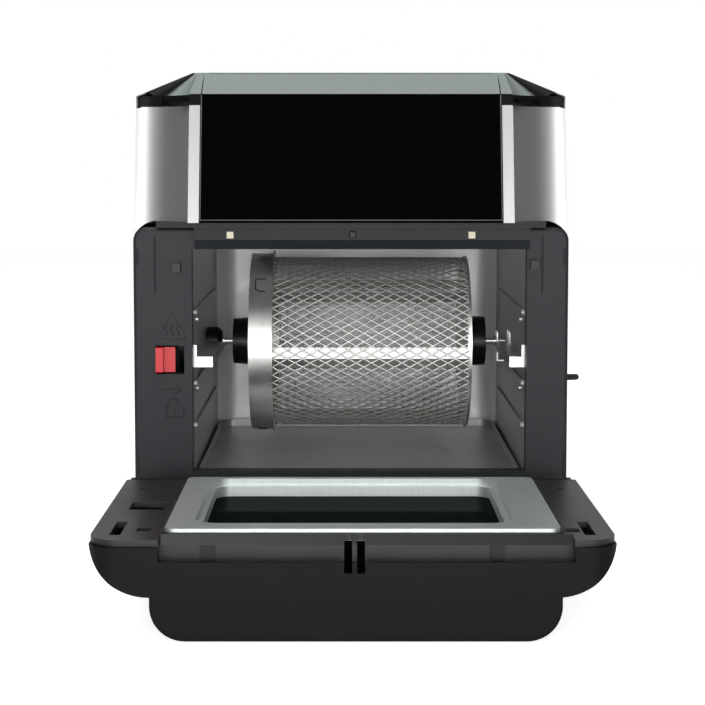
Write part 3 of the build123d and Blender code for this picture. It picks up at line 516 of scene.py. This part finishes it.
# --- Raised marks and ribs on the bezel ----------------------------------------
# Moulded in one with the frame: stiffening ribs, a heat triangle, an arrow that
# shows which way the catch slides, and an open padlock.
def raised_line(name, lines, width, material, body, closed=False):
    """Rounded cords of material along straight-sided paths, as one mesh."""
    curve = bpy.data.curves.new(name, "CURVE")
    curve.dimensions = "3D"
    curve.bevel_depth = width / 2
    curve.bevel_resolution = 2
    curve.use_fill_caps = True
    for points in lines:
        spline = curve.splines.new("POLY")
        spline.points.add(len(points) - 1)
        for point, place in zip(spline.points, points):
            point.co = (*place, 1.0)
        spline.use_cyclic_u = closed
    holder = bpy.data.objects.new(name + "_curve", curve)
    bpy.context.scene.collection.objects.link(holder)
    graph = bpy.context.evaluated_depsgraph_get()
    mesh = bpy.data.meshes.new_from_object(holder.evaluated_get(graph))
    bpy.data.objects.remove(holder)
    mesh.materials.clear()
    mesh.materials.append(material)
    piece = bpy.data.objects.new(name, mesh)
    bpy.context.scene.collection.objects.link(piece)
    for face in mesh.polygons:
        face.use_smooth = True
    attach(piece, body)
    return piece


def on_bezel(*places):
    """Points on the bezel's face from X and Z in millimetres."""
    return [(x * mm, bezel_y, z * mm) for x, z in places]


def mark_arc(x, z, radius, start, stop, steps=8):
    """Points round part of a circle on the bezel's face."""
    turns = [math.radians(start + (stop - start) * i / steps) for i in range(steps + 1)]
    return [(x + radius * math.cos(a), z + radius * math.sin(a)) for a in turns]


raised_line(
    "bezel_ribs",
    [
        on_bezel((-148.5, 240), (-148.5, 197)),
        on_bezel((145, 240), (145, 197)),
        on_bezel((-161.5, 231), (-161.5, 219)),
        on_bezel((161.5, 231), (161.5, 219)),
        on_bezel((-162.4, 76), (-162.4, 57)),
        on_bezel((162.4, 76), (162.4, 57)),
    ],
    1.5 * mm,
    bezel_plastic,
    "oven",
)
raised_line(
    "heat_triangle",
    [on_bezel((-147.5, 162.5), (-124.5, 162.5), (-136, 183))],
    0.9 * mm,
    bezel_plastic,
    "oven",
    closed=True,
)
flames = [
    [(x + 1.2 * math.sin(i * 1.3), 165.5 + i * 1.35) for i in range(7)]
    for x in (-140.5, -136.0, -131.5)
]
padlock_body = [(-140, 102.5), (-127.5, 102.5), (-127.5, 111), (-140, 111), (-140, 102.5)]
shackle = [(-139, 111), (-139, 113)] + mark_arc(-135.4, 113.5, 3.6, 180, 10) + [(-131.8, 113)]
raised_line(
    "catch_marks",
    [on_bezel(*points) for points in flames]
    + [
        on_bezel((-145, 124), (-129, 124)),
        on_bezel((-133, 127.2), (-128.5, 124), (-133, 120.8)),
        on_bezel(*padlock_body),
        on_bezel(*shackle),
        on_bezel((-133.8, 105), (-133.8, 108.5)),
    ],
    0.9 * mm,
    bezel_plastic,
    "oven",
)

# --- Control face --------------------------------------------------------------
# A thin grey line runs round the printed glass, where its edge meets the trims.
glass_low, glass_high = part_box("control_glass")
edge = 0.5 * mm
lean = (glass_high.y - glass_low.y - 1.2 * mm) / (glass_high.z - glass_low.z)


def on_glass(x, z):
    """A point on the leaning glass face."""
    return (x, glass_low.y + (z - glass_low.z) * lean - 0.1 * mm, z)


left, right = glass_low.x + edge, glass_high.x - edge
bottom, top = glass_low.z + 2 * mm, glass_high.z - 1 * mm
line_grey = moulded("line_grey", (0.10, 0.10, 0.105), 0.3)
raised_line(
    "glass_edge",
    [[on_glass(left, top), on_glass(left, bottom), on_glass(right, bottom), on_glass(right, top)]],
    0.9 * mm,
    line_grey,
    "oven",
)

# --- Joints of the top sheets and a painted reflection ----------------------------
# A black cord along the bend where the cover's slope meets the flat top is a painted
# reflection of the dark that the rounded bend mirrors. Two thin black joints part the cover from
# the shoulders.
cover_low, cover_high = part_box("top_cover")
bend_y = cover_low.y + 26 * mm
bend_z = cover_high.z - 1.4 * mm
# This black cord is a painted dark reflection along the bend.
raised_line(
    "bend_painted_reflection",
    [[(cover_low.x + 4 * mm, bend_y, bend_z), (cover_high.x - 4 * mm, bend_y, bend_z)]],
    2.6 * mm,
    gloss_black,
    "oven",
)
joint_lines = [
    [(x, cover_low.y + 0.3 * mm, cover_low.z), (x, bend_y, cover_high.z - 0.6 * mm)]
    for x in (cover_low.x, cover_high.x)
]
raised_line("cover_joints", joint_lines, 1.0 * mm, gloss_black, "oven")

# --- Steel trims beside the glass ----------------------------------------------
# Each trim is one thin brushed sheet, rolled round the unit's corner, so its face
# flows from side to front without a fold and only its cut edges are sharp.
for trim in ("trim_left", "trim_right"):
    rolled = bpy.data.meshes.new("rolled_" + trim)
    sheet_form = bmesh.new()
    sheet_form.from_mesh(nodes[trim].data)
    bmesh.ops.remove_doubles(sheet_form, verts=sheet_form.verts, dist=0.01 * mm)
    for seam in sheet_form.edges:
        seam.smooth = len(seam.link_faces) == 2 and seam.calc_face_angle(0.0) < math.radians(50)
    for facet in sheet_form.faces:
        facet.smooth = True
    sheet_form.to_mesh(rolled)
    sheet_form.free()
    rolled.materials.clear()
    rolled.materials.append(brushed_trim)
    skin = bpy.data.objects.new("rolled_" + trim, rolled)
    bpy.context.scene.collection.objects.link(skin)
    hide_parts(trim)
    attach(skin, "oven")

# --- Basket lid latches ----------------------------------------------------------
# Two sprung tongues pressed in the lid's band hold it on the drum.
lid_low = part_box("basket_lid")[0]
band_radius = drum_radius + 3.6 * mm


def on_band(x, degrees):
    """A point on the lid's band at an angle above the front."""
    turn = math.radians(degrees)
    return (
        x,
        drum_middle.y - band_radius * math.cos(turn),
        drum_middle.z + band_radius * math.sin(turn),
    )


tongues = []
for centre in (44, 164, 284):
    near, far = lid_low.x + 5 * mm, lid_low.x + 13 * mm
    tongues.append(
        [on_band(far, centre + 5)]
        + [on_band(near, centre + 5)]
        + [on_band(near, centre - 3)]
        + [on_band(near + 3 * mm, centre - 5)]
        + [on_band(far, centre - 5)]
    )
raised_line("lid_tongues", tongues, 1.1 * mm, hub_plastic, "basket")

# --- Mains lead --------------------------------------------------------------------
# Six-millimetre rubber lead: out of the back through the strain relief, round in a
# level bow, down to the floor and into a small tied coil with the plug beside it.
lead_points = [
    (128.0, 292.5, 84.0),
    (129.0, 316.0, 84.0),
    (147.0, 341.0, 84.0),
    (178.0, 343.0, 83.6),
    (214.0, 345.0, 83.2),
    (234.0, 379.5, 79.0),
    (213.0, 413.0, 74.4),
    (176.0, 414.0, 68.0),
    (146.0, 409.0, 50.0),
    (120.0, 401.0, 27.0),
    (88.0, 389.0, 8.0),
    (58.0, 378.6, 3.8),
    (30.0, 378.0, 3.8),
]
coil_low, coil_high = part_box("cord_coil")
coil_middle = (coil_low + coil_high) / 2
lead_radius = 3 * mm
coil_radius = (coil_high.x - coil_low.x) / 2 - lead_radius
turns = 2
steps = 14
pitch_rise = (coil_high.z - coil_low.z - 2 * lead_radius) / turns
lead_path = [tuple(c * mm for c in point) for point in lead_points]
for step in range(1, turns * steps + 1):
    turn = math.pi / 2 + 2 * math.pi * step / steps
    lead_path.append(
        (
            coil_middle.x + coil_radius * math.cos(turn),
            coil_middle.y + coil_radius * math.sin(turn),
            coil_low.z + lead_radius + pitch_rise * step / steps,
        )
    )
plug_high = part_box("plug")[1]
lead_path.append((plug_high.x, coil_middle.y + coil_radius, plug_high.z / 2))
lead_curve = bpy.data.curves.new("mains_lead", "CURVE")
lead_curve.dimensions = "3D"
lead_curve.bevel_depth = lead_radius
lead_curve.bevel_resolution = 4
lead_curve.resolution_u = 10
lead_curve.use_fill_caps = True
spline = lead_curve.splines.new("NURBS")
spline.points.add(len(lead_path) - 1)
for point, place in zip(spline.points, lead_path):
    point.co = (*place, 1.0)
spline.order_u = 3
spline.use_endpoint_u = True
lead_curve.materials.append(rubber)
lead = bpy.data.objects.new("mains_lead", lead_curve)
bpy.context.scene.collection.objects.link(lead)
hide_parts("power_cord", "cord_coil")
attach(lead, "oven")

# --- Update --------------------------------------------------------------------
bpy.context.view_layer.update()
